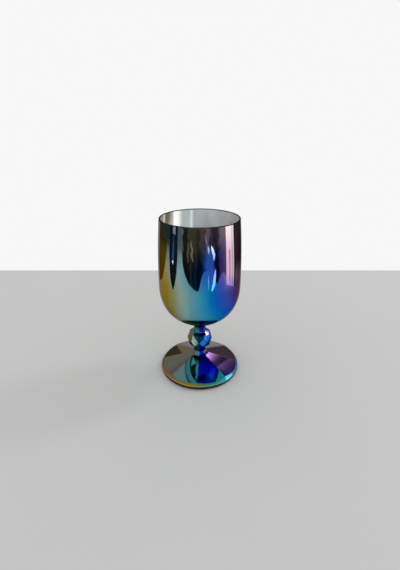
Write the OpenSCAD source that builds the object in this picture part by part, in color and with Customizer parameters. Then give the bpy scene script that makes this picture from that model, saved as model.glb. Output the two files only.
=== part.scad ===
// Stemmed water goblet: a blown bowl on a short cut stem with a faceted knop and a cut foot.
// Millimetres, +Z up. The origin is on the axis, at the plane that the foot stands on.

/* [Bowl] */
// Outer radius of the rim
rim_r = 37; // [34:0.1:39]
// How far the belly stands out beyond the rim
belly_swell = 2.7; // [1:0.1:6]
// Height of the bowl from its welded face to the rim
bowl_h = 111; // [95:1:125]
// Drop from the rim to the widest point
belly_drop = 64; // [52:0.5:66]
// Glass thickness at the rim
rim_wall = 1.5; // [1.2:0.1:2]
// Glass thickness at the belly
belly_wall = 1.8; // [1.5:0.1:2.6]
// Glass thickness in the middle of the bottom
base_wall = 4.5; // [3:0.1:7]
// Fullness of the rounded bottom, where 2 is an ellipse
fullness = 2.32; // [2:0.01:2.7]

/* [Bowl boss] */
// Radius of the boss that the neck is welded to
boss_r = 7.2; // [6.9:0.1:8.5]
// Height of the boss below the rounded bottom
boss_h = 5.4; // [4.5:0.1:7]
// Radius of the sweep from the boss into the bottom
boss_sweep_r = 4.6; // [3:0.1:4.8]

/* [Necks] */
// Half of the distance across the flats at a neck's waist
waist_a = 5.6; // [5:0.1:6]
// Half of the distance across the flats at a neck's end
neck_end_a = 6.1; // [6.05:0.05:6.3]
// Height of the neck between the knop and the bowl
upper_neck_h = 7.7; // [5:0.1:12]
// Height of the neck between the foot and the knop
lower_neck_h = 5.9; // [3:0.1:8]

/* [Knop] */
// Radius of the knop over its upright edges
knop_r = 12.7; // [11:0.1:15]
// Height of the knop between its two tables
knop_h = 16.6; // [15.8:0.1:20]
// Length of the upright edges round the girdle
girdle_h = 0.8; // [0.4:0.1:2.4]
// Height between the upper and the lower shoulder corners
shoulder_h = 13; // [11.5:0.1:14.5]
// Slope of the large pointed facets from the horizontal, in degrees
pointed_slope = 67; // [64:0.1:71]

/* [Foot] */
// Outer radius of the foot
foot_r = 41.1; // [38:0.1:46]
// Radius of the rounded edge of the foot
edge_round = 3.1; // [2.4:0.1:3.3]
// Slope of the foot's facets from the horizontal, in degrees
facet_slope = 19.5; // [16:0.1:22]
// Height at which the facets would reach the outer radius
facet_edge_z = 5.85; // [5:0.05:6.4]
// Slope of the bevel where the facets run into the rounded edge, in degrees
bevel_slope = 54; // [48:0.5:60]
// Radius of the hollow sweep from the facets up to the neck
foot_sweep_r = 5; // [3:0.1:9]
// Radius of the hollow under the foot
hollow_r = 33.5; // [20:0.1:34]
// Depth of the hollow under the foot
hollow_depth = 1.8; // [1:0.1:3]

/* [Cutting] */
// Facets in one ring
facet_count = 8; // [8, 10]

/* [Hidden] */
$fn = 96;
curve_steps = 36;
corner_steps = 12;
search_steps = 40;
overrun = 1;

facet_turn = 360 / facet_count;
half_turn = facet_turn / 2;
neck_corner_r = neck_end_a / cos(half_turn);
belly_r = rim_r + belly_swell;

// Heights above the table, from the foot up
facet_fall = tan(facet_slope);
sweep_u = waist_a + foot_sweep_r;
foot_top_z = facet_edge_z + facet_fall * (foot_r - sweep_u) + foot_sweep_r / cos(facet_slope);
knop_low_z = foot_top_z + lower_neck_h;
knop_mid_z = knop_low_z + knop_h / 2;
knop_top_z = knop_low_z + knop_h;
bowl_low_z = knop_top_z + upper_neck_h;
rim_z = bowl_low_z + bowl_h;
belly_z = rim_z - belly_drop;
bottom_z = bowl_low_z + boss_h;

// A point on the rounded bottom, from the belly at t = 0 to the axis at t = 90.
// It lies on a superellipse with the belly's radius and the bottom's depth as half axes.
function bottom_point(r, depth, t) =
    [r * pow(cos(t), 2 / fullness), belly_z - depth * pow(sin(t), 2 / fullness)];

// The unit normal there, pointing out of the glass
function bottom_normal(r, depth, t) =
    let (p = bottom_point(r, depth, t),
         n = [pow(p[0] / r, fullness - 1) / r,
              -pow((belly_z - p[1]) / depth, fullness - 1) / depth])
    n / norm(n);

// A point on the arc from the belly up to the rim, whose centre is level with the belly
function wall_point(r, top_r, share) =
    let (rise = belly_drop - rim_wall / 2,
         arc_r = (pow(rise, 2) + pow(r - top_r, 2)) / (2 * (r - top_r)),
         z = rise * share)
    [r - arc_r + sqrt(pow(arc_r, 2) - pow(z, 2)), belly_z + z];

// How far the centre of the sweep round the boss lies outside the place that it needs
function sweep_error(t) =
    bottom_point(belly_r, belly_z - bottom_z, t)[0]
    + boss_sweep_r * bottom_normal(belly_r, belly_z - bottom_z, t)[0]
    - boss_r - boss_sweep_r;

// The place on the rounded bottom where that sweep touches it, found by halving the span
function sweep_touch(low, high, step) =
    let (middle = (low + high) / 2)
    step == 0 ? middle
    : sweep_error(middle) > 0 ? sweep_touch(middle, high, step - 1)
    : sweep_touch(low, middle, step - 1);

// Points on an arc from one angle to another, both ends included
function arc(centre, r, from, to, steps) =
    [for (i = [0:steps]) centre + r * [cos(from + (to - from) * i / steps),
                                       sin(from + (to - from) * i / steps)]];

// Outline of the bowl's glass on one side of the axis, up the outside and down the inside
function bowl_outline() =
    let (depth = belly_z - bottom_z,
         touch = sweep_touch(0, 90, search_steps),
         normal = bottom_normal(belly_r, depth, touch),
         sweep_centre = bottom_point(belly_r, depth, touch) + boss_sweep_r * normal,
         sweep_end = atan2(-normal[1], -normal[0]),
         inner_r = belly_r - belly_wall,
         inner_depth = depth - base_wall,
         lip_r = rim_wall / 2)
    concat(
        [[0, bowl_low_z], [boss_r, bowl_low_z]],
        arc(sweep_centre, boss_sweep_r, 180, sweep_end, corner_steps),
        [for (i = [1:curve_steps]) bottom_point(belly_r, depth, touch * (1 - i / curve_steps))],
        [for (i = [1:corner_steps]) wall_point(belly_r, rim_r, i / corner_steps)],
        arc([rim_r - lip_r, rim_z - lip_r], lip_r, 0, 180, corner_steps),
        [for (i = [1:corner_steps]) wall_point(inner_r, rim_r - rim_wall, 1 - i / corner_steps)],
        [for (i = [1:curve_steps]) bottom_point(inner_r, inner_depth, 90 * i / curve_steps)]);

// What lies inside one ring of facets: each outline is as wide as the flats of two opposite facets
module cut_ring(turn, reach) {
    intersection_for (i = [0:facet_count / 2 - 1])
        rotate([0, 0, turn + i * facet_turn])
            rotate([90, 0, 0])
                translate([0, 0, -reach])
                    linear_extrude(height = 2 * reach) children();
}

// Outline of a neck with hollow flats, from one height to another, narrowest at a third
module neck_outline(low_z, high_z, waist_z) {
    reach = max(high_z - waist_z, waist_z - low_z);
    swell = neck_end_a - waist_a;
    hollow = (pow(reach, 2) + pow(swell, 2)) / (2 * swell);
    difference() {
        translate([-neck_end_a, low_z]) square([2 * neck_end_a, high_z - low_z]);
        for (side = [-1, 1])
            translate([side * (waist_a + hollow), waist_z]) circle(r = hollow);
    }
}

// Outline of the knop through the flats of the girdle, with a shallow crown to each table
module knop_girdle_outline() {
    flat_a = knop_r * cos(half_turn);
    shoulder_a = (knop_r - (shoulder_h - girdle_h) / 2 / tan(pointed_slope)) / cos(half_turn);
    crown_fall = (knop_h - shoulder_h) / 2 / (shoulder_a - neck_end_a);
    crown_z = knop_h / 2 - crown_fall * (flat_a - neck_end_a);
    polygon([
        [neck_end_a, -knop_h / 2], [flat_a, -crown_z], [flat_a, crown_z],
        [neck_end_a, knop_h / 2], [-neck_end_a, knop_h / 2], [-flat_a, crown_z],
        [-flat_a, -crown_z], [-neck_end_a, -knop_h / 2]]);
}

// Outline of the knop through its upright edges, with the slope of the large pointed facets.
// The slopes pass through the ends of those edges and meet outside them.
module knop_pointed_outline() {
    run = 1 / tan(pointed_slope);
    tip_a = knop_r + girdle_h / 2 * run;
    top_a = tip_a - knop_h / 2 * run;
    polygon([
        [top_a, -knop_h / 2], [tip_a, 0], [top_a, knop_h / 2],
        [-top_a, knop_h / 2], [-tip_a, 0], [-top_a, -knop_h / 2]]);
}

// Outline through two opposite facets of the foot, with the hollow sweep up to the neck
module foot_facet_outline() {
    touch_u = sweep_u - foot_sweep_r * sin(facet_slope);
    touch_z = facet_edge_z + facet_fall * (foot_r - touch_u);
    outer_u = foot_r + overrun;
    outer_z = facet_edge_z - facet_fall * overrun;
    difference() {
        polygon([
            [-outer_u, 0], [outer_u, 0], [outer_u, outer_z], [touch_u, touch_z],
            [sweep_u, foot_top_z], [-sweep_u, foot_top_z], [-touch_u, touch_z],
            [-outer_u, outer_z]]);
        for (side = [-1, 1])
            translate([side * sweep_u, foot_top_z]) circle(r = foot_sweep_r);
    }
}

// Round blank of the foot on one side of the axis: a rounded edge that runs into a bevel,
// over a shallow hollow that leaves a flat ring to stand on
module foot_blank_outline() {
    edge_centre = [foot_r - edge_round, edge_round];
    bevel_point = edge_centre + edge_round * [sin(bevel_slope), cos(bevel_slope)];
    peak_z = bevel_point[1] + tan(bevel_slope) * bevel_point[0];
    hollow_ball_r = (pow(hollow_r, 2) + pow(hollow_depth, 2)) / (2 * hollow_depth);
    hollow_turn = asin(hollow_r / hollow_ball_r);
    hollow_centre = [0, hollow_depth - hollow_ball_r];
    translate(edge_centre) circle(r = edge_round);
    polygon(concat(
        arc(hollow_centre, hollow_ball_r, 90, 90 - hollow_turn, corner_steps),
        [[edge_centre[0], 0], edge_centre, bevel_point, [0, peak_z]]));
}

module bowl() {
    color([0.22, 0.42, 0.48, 0.75])
        rotate_extrude() polygon(bowl_outline());
}

module upper_neck() {
    color([0.10, 0.16, 0.50])
        cut_ring(half_turn, neck_corner_r)
            neck_outline(knop_top_z, bowl_low_z, (knop_top_z + bowl_low_z) / 2);
}

module knop() {
    color([0.12, 0.45, 0.75])
        translate([0, 0, knop_mid_z])
            intersection() {
                cut_ring(half_turn, knop_r + overrun) knop_girdle_outline();
                cut_ring(0, knop_r + overrun) knop_pointed_outline();
            }
}

module lower_neck() {
    color([0.08, 0.20, 0.55])
        cut_ring(half_turn, neck_corner_r)
            neck_outline(foot_top_z, knop_low_z, foot_top_z);
}

module foot() {
    color([0.16, 0.30, 0.55])
        intersection() {
            rotate_extrude() foot_blank_outline();
            cut_ring(half_turn, foot_r + overrun) foot_facet_outline();
        }
}

bowl();
upper_neck();
knop();
lower_neck();
foot();
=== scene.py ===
import math

import bpy
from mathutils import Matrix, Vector


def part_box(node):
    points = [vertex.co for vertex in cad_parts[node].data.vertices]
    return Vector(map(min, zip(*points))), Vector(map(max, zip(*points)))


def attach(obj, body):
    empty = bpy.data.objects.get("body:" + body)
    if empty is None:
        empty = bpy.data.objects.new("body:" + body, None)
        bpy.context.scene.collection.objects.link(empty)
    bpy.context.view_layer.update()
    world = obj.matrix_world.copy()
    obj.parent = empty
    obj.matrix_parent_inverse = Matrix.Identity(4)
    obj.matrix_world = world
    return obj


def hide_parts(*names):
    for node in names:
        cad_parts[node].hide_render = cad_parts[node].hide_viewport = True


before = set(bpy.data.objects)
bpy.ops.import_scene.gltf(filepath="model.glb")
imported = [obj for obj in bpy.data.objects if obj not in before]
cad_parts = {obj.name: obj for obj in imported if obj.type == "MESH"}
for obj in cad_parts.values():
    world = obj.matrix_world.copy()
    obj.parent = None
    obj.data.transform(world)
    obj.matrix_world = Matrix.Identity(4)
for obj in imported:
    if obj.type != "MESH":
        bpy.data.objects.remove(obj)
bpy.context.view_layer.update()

MM = 0.001

# Sizes that the frame gives
BOWL_LOW, BOWL_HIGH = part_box("bowl")
KNOP_LOW, KNOP_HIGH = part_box("knop")
NECK_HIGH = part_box("upper_neck")[1]
FOOT_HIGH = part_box("foot")[1]

# Facets: one ring has eight, and a ridge of the foot and an upright edge of the knop point along +X
FACETS = 8
HALF_TURN = math.pi / FACETS
SOFT_EDGE = 0.22 * MM
SOFT_EDGE_SEGMENTS = 2
SOFTENED_FROM = math.radians(8)

# Bowl
CLOSING_IN = 2.7 * MM
RIM_TO_BELLY = 64 * MM
BELLY_R = BOWL_HIGH.x
RIM_R = BELLY_R - CLOSING_IN
BELLY_Z = BOWL_HIGH.z - RIM_TO_BELLY
BOSS_R = 7.2 * MM
BOSS_H = 5.4 * MM
BOSS_SWEEP_R = 4.6 * MM
RIM_WALL = 1.5 * MM
LIP_R = RIM_WALL / 2
BELLY_WALL = 1.8 * MM
BASE_WALL = 4.5 * MM
# Power of the superellipse that the rounded bottom follows
FULLNESS = 2.32

# Necks
WAIST_A = 5.6 * MM
NECK_END_A = NECK_HIGH.x * math.cos(HALF_TURN)

# Knop
KNOP_R = KNOP_HIGH.x
KNOP_H = KNOP_HIGH.z - KNOP_LOW.z
KNOP_MIDDLE_Z = (KNOP_LOW.z + KNOP_HIGH.z) / 2
GIRDLE_H = 0.8 * MM
SHOULDER_H = 13 * MM
POINTED_SLOPE = math.radians(67)

# Foot
FOOT_R = FOOT_HIGH.x
EDGE_ROUND = 3.1 * MM
FACET_SLOPE = math.radians(19.5)
FACET_EDGE_Z = 5.85 * MM
BEVEL_SLOPE = math.radians(54)
FACET_SOFT_EDGE = 1.3 * SOFT_EDGE
# The facets reach farther out than this
FACET_LEAST_A = FOOT_R * 0.8
FOOT_SWEEP_R = 5 * MM
HOLLOW_R = 33.5 * MM
HOLLOW_DEPTH = 1.8 * MM

# How finely the glass is modelled
BOWL_COLUMNS = 192
BOWL_STEP = 1.1 * MM
BOWL_DRAFT_STEPS = 400
BOSS_SWEEP_STEPS = 14
LIP_STEPS = 10
CORNER_STEPS = 3
FLAT_STEPS = 8
NECK_STEPS = 12
HOLLOW_STEPS = 10
EDGE_STEPS = 16
SOFT_CORNER_STEPS = 4
FACET_STEPS = 6
FOOT_SWEEP_STEPS = 18
SEARCH_STEPS = 50
LEAST_LENGTH = 1e-9 * MM
WELD = 0.002 * MM


class Graph:
    """Makes nodes in one tree, each by its type, its settings and the values or links of its sockets."""

    def __init__(self, tree):
        self.tree = tree

    def node(self, kind, settings=None, **values):
        """A new node, with its settings made first and its sockets fed after them."""
        made = self.tree.nodes.new(kind)
        for name, value in (settings or {}).items():
            setattr(made, name, value)
        for name, value in values.items():
            self.feed(made, name, value)
        return made

    def feed(self, made, name, value):
        """Sets one socket, named with _ for a space or by its number, to a number, a vector or a link."""
        if name.startswith("in_"):
            socket = made.inputs[int(name[3:])]
        else:
            socket = made.inputs[name.replace("_", " ")]
        if isinstance(value, Value):
            self.tree.links.new(value.socket, socket)
        elif isinstance(value, bpy.types.NodeSocket):
            self.tree.links.new(value, socket)
        else:
            socket.default_value = value

    def math(self, operation, *terms):
        made = self.node("ShaderNodeMath", {"operation": operation})
        for number, term in enumerate(terms):
            self.feed(made, f"in_{number}", term)
        return Value(self, made.outputs[0])

    def ramp(self, place, stops):
        """A colour ramp, with its stops as (place, colour) in rising order."""
        made = self.node("ShaderNodeValToRGB", Fac=place)
        band = made.color_ramp
        while len(band.elements) < len(stops):
            band.elements.new(0.5)
        for element, (spot, _) in zip(band.elements, stops):
            element.position = spot
        for element, (_, colour) in zip(band.elements, stops):
            element.color = (*colour, 1)
        return Value(self, made.outputs["Color"])

    def mix(self, share, first, second):
        """A colour between two others."""
        made = self.node("ShaderNodeMix", {"data_type": "RGBA"}, in_0=share)
        for number, colour in ((6, first), (7, second)):
            plain = isinstance(colour, tuple)
            self.feed(made, f"in_{number}", (*colour, 1) if plain else colour)
        return Value(self, made.outputs[2])

    def span(self, value, low, high, to_low=0.0, to_high=1.0):
        """Maps low..high smoothly to another span, and holds the ends."""
        made = self.node("ShaderNodeMapRange", {"interpolation_type": "SMOOTHSTEP"}, in_0=value)
        for number, limit in enumerate((low, high, to_low, to_high), start=1):
            made.inputs[number].default_value = limit
        return Value(self, made.outputs[0])

    def noise(self, place, scale, detail):
        made = self.node("ShaderNodeTexNoise", Vector=place, Scale=scale, Detail=detail)
        return Value(self, made.outputs[0])

    def place_round_axis(self):
        """A point's coordinates, its turn round the axis from -Y to the right, its radius and its height."""
        place = self.node("ShaderNodeTexCoord").outputs["Object"]
        parts = self.node("ShaderNodeSeparateXYZ", Vector=place).outputs
        x, y, z = (Value(self, part) for part in parts)
        return place, self.math("ARCTAN2", x, y * -1), self.math("SQRT", x * x + y * y), z


class Value:
    """A number in a node tree. Sums and products of it become Math nodes."""

    def __init__(self, graph, socket):
        self.graph = graph
        self.socket = socket

    def __add__(self, other):
        return self.graph.math("ADD", self, other)

    def __sub__(self, other):
        return self.graph.math("SUBTRACT", self, other)

    def __mul__(self, other):
        return self.graph.math("MULTIPLY", self, other)

    def __rsub__(self, other):
        return self.graph.math("SUBTRACT", other, self)

    __radd__ = __add__
    __rmul__ = __mul__


# Camera, at the height and the distance that the photograph's perspective gives, with its lens and
# sensor in millimetres
CAMERA_TURN = math.radians(3.7)
CAMERA_REACH = 0.3073
CAMERA_Z = 0.2357
CAMERA_PITCH = math.radians(24.46)
CAMERA_LENS = 21.745
CAMERA_SENSOR = 36
CAMERA_CLIP = 0.01
PICTURE_H_PX = 570
AXIS_OFF_CENTRE_PX = 0.3


def from_front(degrees, reach):
    """The place in plan so far round to the right of the camera's side and so far from the axis."""
    turn = CAMERA_TURN + math.radians(degrees)
    return reach * math.sin(turn), -reach * math.cos(turn)


def add_camera():
    data = bpy.data.cameras.new("camera")
    data.lens = CAMERA_LENS
    data.sensor_width = CAMERA_SENSOR
    data.shift_x = AXIS_OFF_CENTRE_PX / PICTURE_H_PX
    data.clip_start = CAMERA_CLIP
    camera = bpy.data.objects.new("camera", data)
    camera.location = (*from_front(0, CAMERA_REACH), CAMERA_Z)
    camera.rotation_euler = (math.pi / 2 - CAMERA_PITCH, 0, CAMERA_TURN)
    bpy.context.scene.collection.objects.link(camera)
    bpy.context.scene.camera = camera


# Outlines on one side of the axis, as (radius, height)


def arc(centre, r, start, end, steps):
    """Points on an arc between two angles, both ends included."""
    points = []
    for step in range(steps + 1):
        turn = start + (end - start) * step / steps
        points.append((centre[0] + r * math.cos(turn), centre[1] + r * math.sin(turn)))
    return points


def even_steps(points, step):
    """The same path with points about one step apart."""
    lengths = [0.0]
    for a, b in zip(points, points[1:]):
        lengths.append(lengths[-1] + math.dist(a, b))
    count = max(1, round(lengths[-1] / step))
    result = []
    at = 0
    for number in range(count + 1):
        target = lengths[-1] * number / count
        while at < len(points) - 2 and lengths[at + 1] < target:
            at += 1
        share = (target - lengths[at]) / max(lengths[at + 1] - lengths[at], LEAST_LENGTH)
        a, b = points[at], points[at + 1]
        result.append((a[0] + (b[0] - a[0]) * share, a[1] + (b[1] - a[1]) * share))
    return result


def bottom_point(r, depth, t):
    """A point on the rounded bottom, from the belly at t = 0 to the axis at a quarter turn."""
    across = max(math.cos(t), 0) ** (2 / FULLNESS)
    down = max(math.sin(t), 0) ** (2 / FULLNESS)
    return r * across, BELLY_Z - depth * down


def bottom_normal(r, depth, t):
    """The direction in which the rounded bottom faces there."""
    x, z = bottom_point(r, depth, t)
    normal = Vector(((x / r) ** (FULLNESS - 1) / r, -((BELLY_Z - z) / depth) ** (FULLNESS - 1) / depth))
    return normal.normalized()


def wall_point(r, top_r, share):
    """A point on the arc from the belly up to the rim."""
    rise = BOWL_HIGH.z - BELLY_Z - LIP_R
    arc_r = (rise ** 2 + (r - top_r) ** 2) / (2 * (r - top_r))
    z = rise * share
    return r - arc_r + math.sqrt(arc_r ** 2 - z ** 2), BELLY_Z + z


def sweep_touch(depth):
    """Where the sweep round the boss touches the rounded bottom."""
    low, high = 0.0, math.pi / 2
    for _ in range(SEARCH_STEPS):
        middle = (low + high) / 2
        x = bottom_point(BELLY_R, depth, middle)[0]
        error = x + BOSS_SWEEP_R * bottom_normal(BELLY_R, depth, middle)[0] - BOSS_R - BOSS_SWEEP_R
        low, high = (middle, high) if error > 0 else (low, middle)
    return (low + high) / 2


def bowl_outside():
    """The sweep round the boss, the rounded bottom and the wall up to the lip."""
    depth = BELLY_Z - BOWL_LOW.z - BOSS_H
    touch = sweep_touch(depth)
    normal = bottom_normal(BELLY_R, depth, touch)
    start = bottom_point(BELLY_R, depth, touch)
    centre = (start[0] + BOSS_SWEEP_R * normal[0], start[1] + BOSS_SWEEP_R * normal[1])
    sweep_end = math.atan2(-normal[1], -normal[0])
    sweep = arc(centre, BOSS_SWEEP_R, math.pi, sweep_end, BOSS_SWEEP_STEPS)
    steps = BOWL_DRAFT_STEPS
    bottom = [bottom_point(BELLY_R, depth, touch * (1 - i / steps)) for i in range(steps + 1)]
    wall = [wall_point(BELLY_R, RIM_R, i / steps) for i in range(1, steps + 1)]
    return sweep + even_steps(bottom + wall, BOWL_STEP)[1:]


def bowl_inside():
    """The inner wall from the lip down, and the inner bottom in to the axis."""
    depth = BELLY_Z - BOWL_LOW.z - BOSS_H - BASE_WALL
    inner_r = BELLY_R - BELLY_WALL
    steps = BOWL_DRAFT_STEPS
    wall = [wall_point(inner_r, RIM_R - RIM_WALL, 1 - i / steps) for i in range(steps)]
    bottom = [bottom_point(inner_r, depth, math.pi / 2 * i / steps) for i in range(steps + 1)]
    return even_steps(wall + bottom, BOWL_STEP)


# Meshes: each piece is modelled as one part of a ring, which its node tree repeats round the axis


def sector_mesh(name, rows, sharp_rows=(), sharp_columns=(), lined_from=None):
    """A strip of faces through rows of points, which run anticlockwise round the axis."""
    across = len(rows[0])
    corners = [point for row in rows for point in row]
    faces = []
    for row in range(len(rows) - 1):
        for column in range(across - 1):
            low = row * across + column
            faces.append((low, low + 1, low + 1 + across, low + across))
    mesh = bpy.data.meshes.new(name)
    mesh.from_pydata(corners, [], faces)
    mesh.polygons.foreach_set("use_smooth", [True] * len(faces))
    sharp = mesh.attributes.new("sharp_edge", "BOOLEAN", "EDGE")
    for edge in mesh.edges:
        rows_met = sorted(corner // across for corner in edge.vertices)
        columns_met = sorted(corner % across for corner in edge.vertices)
        along_row = rows_met[0] == rows_met[1] and rows_met[0] in sharp_rows
        up_column = columns_met[0] == columns_met[1] and (columns_met[0], rows_met[0]) in sharp_columns
        sharp.data[edge.index].value = along_row or up_column
    lined = mesh.attributes.new("lined", "BOOLEAN", "FACE")
    if lined_from is not None:
        first = lined_from * (across - 1)
        lined.data.foreach_set("value", [number >= first for number in range(len(faces))])
    return mesh


def columns_across_facet():
    """The columns of one facet: how far across its flat, and how far round the softened ridge."""
    left = [(-1, -HALF_TURN * (1 - i / CORNER_STEPS)) for i in range(CORNER_STEPS)]
    flat = [(-1 + 2 * i / FLAT_STEPS, 0) for i in range(FLAT_STEPS + 1)]
    right = [(1, HALF_TURN * (i + 1) / CORNER_STEPS) for i in range(CORNER_STEPS)]
    return left + flat + right


def plan_point(apothem, column):
    """The place in plan of a column where the facet's flat is so far from the axis."""
    across, turn = column
    core = apothem - SOFT_EDGE
    u = core + SOFT_EDGE * math.cos(turn)
    v = across * core * math.tan(HALF_TURN) + SOFT_EDGE * math.sin(turn)
    return turned(u, v, HALF_TURN)


def turned(u, v, turn):
    """A place in plan, turned round the axis."""
    return u * math.cos(turn) - v * math.sin(turn), u * math.sin(turn) + v * math.cos(turn)


FLAT_BORDERS = (CORNER_STEPS, CORNER_STEPS + FLAT_STEPS)


def neck_sector(name, low_z, high_z, waist_z):
    """One hollow flat of a neck, with its ends closed."""
    reach = max(high_z - waist_z, waist_z - low_z)
    swell = NECK_END_A - WAIST_A
    hollow_r = (reach ** 2 + swell ** 2) / (2 * swell)
    columns = columns_across_facet()
    rows = [[(0, 0, low_z)] * len(columns)]
    for step in range(NECK_STEPS + 1):
        z = low_z + (high_z - low_z) * step / NECK_STEPS
        apothem = WAIST_A + hollow_r - math.sqrt(hollow_r ** 2 - (z - waist_z) ** 2)
        rows.append([(*plan_point(apothem, column), z) for column in columns])
    rows.append([(0, 0, high_z)] * len(columns))
    upright = {(border, row) for border in FLAT_BORDERS for row in range(1, NECK_STEPS + 1)}
    return sector_mesh(name, rows, (1, NECK_STEPS + 1), upright)


def foot_facet_z(apothem):
    """How high a facet of the foot is so far from the axis."""
    return FACET_EDGE_Z + math.tan(FACET_SLOPE) * (FOOT_R - apothem)


def foot_column(column, sweep_u):
    """One column of the foot, from the middle of its underside out, up and in to the stem."""
    edge_centre = (FOOT_R - EDGE_ROUND, EDGE_ROUND)
    bevel_turn = math.pi / 2 - BEVEL_SLOPE
    bevel_low = arc(edge_centre, EDGE_ROUND, bevel_turn, bevel_turn, 1)[0]

    def over_bevel(apothem):
        r = math.hypot(*plan_point(apothem, column))
        return foot_facet_z(apothem) - bevel_low[1] - math.tan(BEVEL_SLOPE) * (bevel_low[0] - r)

    low, high = FACET_LEAST_A, FOOT_R
    for _ in range(SEARCH_STEPS):
        middle = (low + high) / 2
        low, high = (middle, high) if over_bevel(middle) < 0 else (low, middle)
    met = plan_point(low, column)
    met_r = math.hypot(*met)
    direction = (met[0] / met_r, met[1] / met_r)

    ball_r = (HOLLOW_R ** 2 + HOLLOW_DEPTH ** 2) / (2 * HOLLOW_DEPTH)
    ball_turn = math.asin(HOLLOW_R / ball_r)
    hollow = arc((0, HOLLOW_DEPTH - ball_r), ball_r, math.pi / 2, math.pi / 2 - ball_turn, HOLLOW_STEPS)
    bead = arc(edge_centre, EDGE_ROUND, -math.pi / 2, bevel_turn, EDGE_STEPS)
    bevel_r = met_r + FACET_SOFT_EDGE * math.cos(BEVEL_SLOPE)
    bevel_z = foot_facet_z(low) - FACET_SOFT_EDGE * math.sin(BEVEL_SLOPE)
    outside = hollow + bead + [(bevel_r, bevel_z)]
    path = [Vector((r * direction[0], r * direction[1], z)) for r, z in outside]

    facet_start = low - FACET_SOFT_EDGE * math.cos(FACET_SLOPE)
    corner = Vector((*met, foot_facet_z(low)))
    inner = Vector((*plan_point(facet_start, column), foot_facet_z(facet_start)))
    outer = path[-1]
    for step in range(1, SOFT_CORNER_STEPS):
        share = step / SOFT_CORNER_STEPS
        path.append(outer * (1 - share) ** 2 + corner * 2 * share * (1 - share) + inner * share ** 2)

    touch_u = sweep_u - FOOT_SWEEP_R * math.sin(FACET_SLOPE)
    for step in range(FACET_STEPS + 1):
        apothem = facet_start + (touch_u - facet_start) * step / FACET_STEPS
        path.append(Vector((*plan_point(apothem, column), foot_facet_z(apothem))))
    sweep_start = -math.pi / 2 - FACET_SLOPE
    sweep = arc((sweep_u, FOOT_HIGH.z), FOOT_SWEEP_R, sweep_start, -math.pi, FOOT_SWEEP_STEPS)
    for apothem, z in sweep[1:]:
        path.append(Vector((*plan_point(apothem, column), z)))
    path.append(Vector((0, 0, FOOT_HIGH.z)))
    ring_row = len(hollow) - 1
    facet_row = len(outside) + SOFT_CORNER_STEPS - 1
    sweep_row = facet_row + FACET_STEPS
    marks = {"hollow": ring_row, "facet": facet_row, "sweep": sweep_row, "top": len(path) - 2}
    return path, marks


def foot_sector():
    """One facet of the foot, with the sweep above it and the underside below it."""
    columns = columns_across_facet()
    sweep_u = WAIST_A + FOOT_SWEEP_R
    made = [foot_column(column, sweep_u) for column in columns]
    marks = made[0][1]
    rows = [list(row) for row in zip(*(path for path, _ in made))]
    upright = {(border, row) for border in FLAT_BORDERS for row in range(marks["facet"], marks["top"])}
    return sector_mesh("foot_sector", rows, marks.values(), upright)


def knop_sector():
    """The facets of the knop in an eighth of a turn, worked out from its slopes."""
    run = 1 / math.tan(POINTED_SLOPE)
    flat_a = KNOP_R * math.cos(HALF_TURN)
    tip_a = KNOP_R + GIRDLE_H / 2 * run
    rhomb_z = (tip_a - flat_a * math.cos(HALF_TURN)) / run
    shoulder_a = (KNOP_R - (SHOULDER_H - GIRDLE_H) / 2 * run) / math.cos(HALF_TURN)
    crown_run = (shoulder_a - NECK_END_A) / ((KNOP_H - SHOULDER_H) / 2)
    slope_gap = crown_run / math.cos(HALF_TURN) - run
    peak_z = ((shoulder_a + crown_run * SHOULDER_H / 2) / math.cos(HALF_TURN) - tip_a) / slope_gap
    peak_r = tip_a - peak_z * run

    # Each corner is so many half turns round, so far from the axis and so high over the knop's middle
    corners = []
    for side in (1, -1):
        for steps, r, z in (
            (0, KNOP_R, GIRDLE_H / 2),
            (2, KNOP_R, GIRDLE_H / 2),
            (1, flat_a, rhomb_z),
            (1, shoulder_a, SHOULDER_H / 2),
            (0, peak_r, peak_z),
            (2, peak_r, peak_z),
            (0, NECK_END_A / math.cos(HALF_TURN), KNOP_H / 2),
            (2, NECK_END_A / math.cos(HALF_TURN), KNOP_H / 2),
            (0, 0, KNOP_H / 2),
        ):
            corners.append((*turned(r, 0, steps * HALF_TURN), KNOP_MIDDLE_Z + side * z))
    # Over the girdle: the halves of two pointed facets, one crown facet and its share of the table
    upper = [(0, 2, 3, 4), (2, 1, 5, 3), (3, 5, 7, 6, 4), (6, 7, 8)]
    half = len(corners) // 2
    lower = [tuple(corner + half for corner in reversed(face)) for face in upper]
    girdle = (half, half + 2, half + 1, 1, 2, 0)
    mesh = bpy.data.meshes.new("knop_sector")
    mesh.from_pydata(corners, [], [girdle, *upper, *lower])
    mesh.attributes.new("lined", "BOOLEAN", "FACE")
    return mesh


def bowl_sector():
    """A narrow slice of the bowl's glass, up the outside, over the lip and down the inside."""
    lip = arc((RIM_R - LIP_R, BOWL_HIGH.z - LIP_R), LIP_R, 0, math.pi, LIP_STEPS)[1:]
    inside = bowl_inside()[1:]
    outline = [(0, BOWL_LOW.z)] + bowl_outside() + lip + inside
    boss_edge_row = 1
    half_slice = math.pi / BOWL_COLUMNS
    rows = []
    for r, z in outline:
        rows.append([(*turned(r, 0, turn), z) for turn in (-half_slice, half_slice)])
    lined_from = len(outline) - len(inside) - 1
    return sector_mesh("bowl_sector", rows, (boss_edge_row,), (), lined_from)


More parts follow.
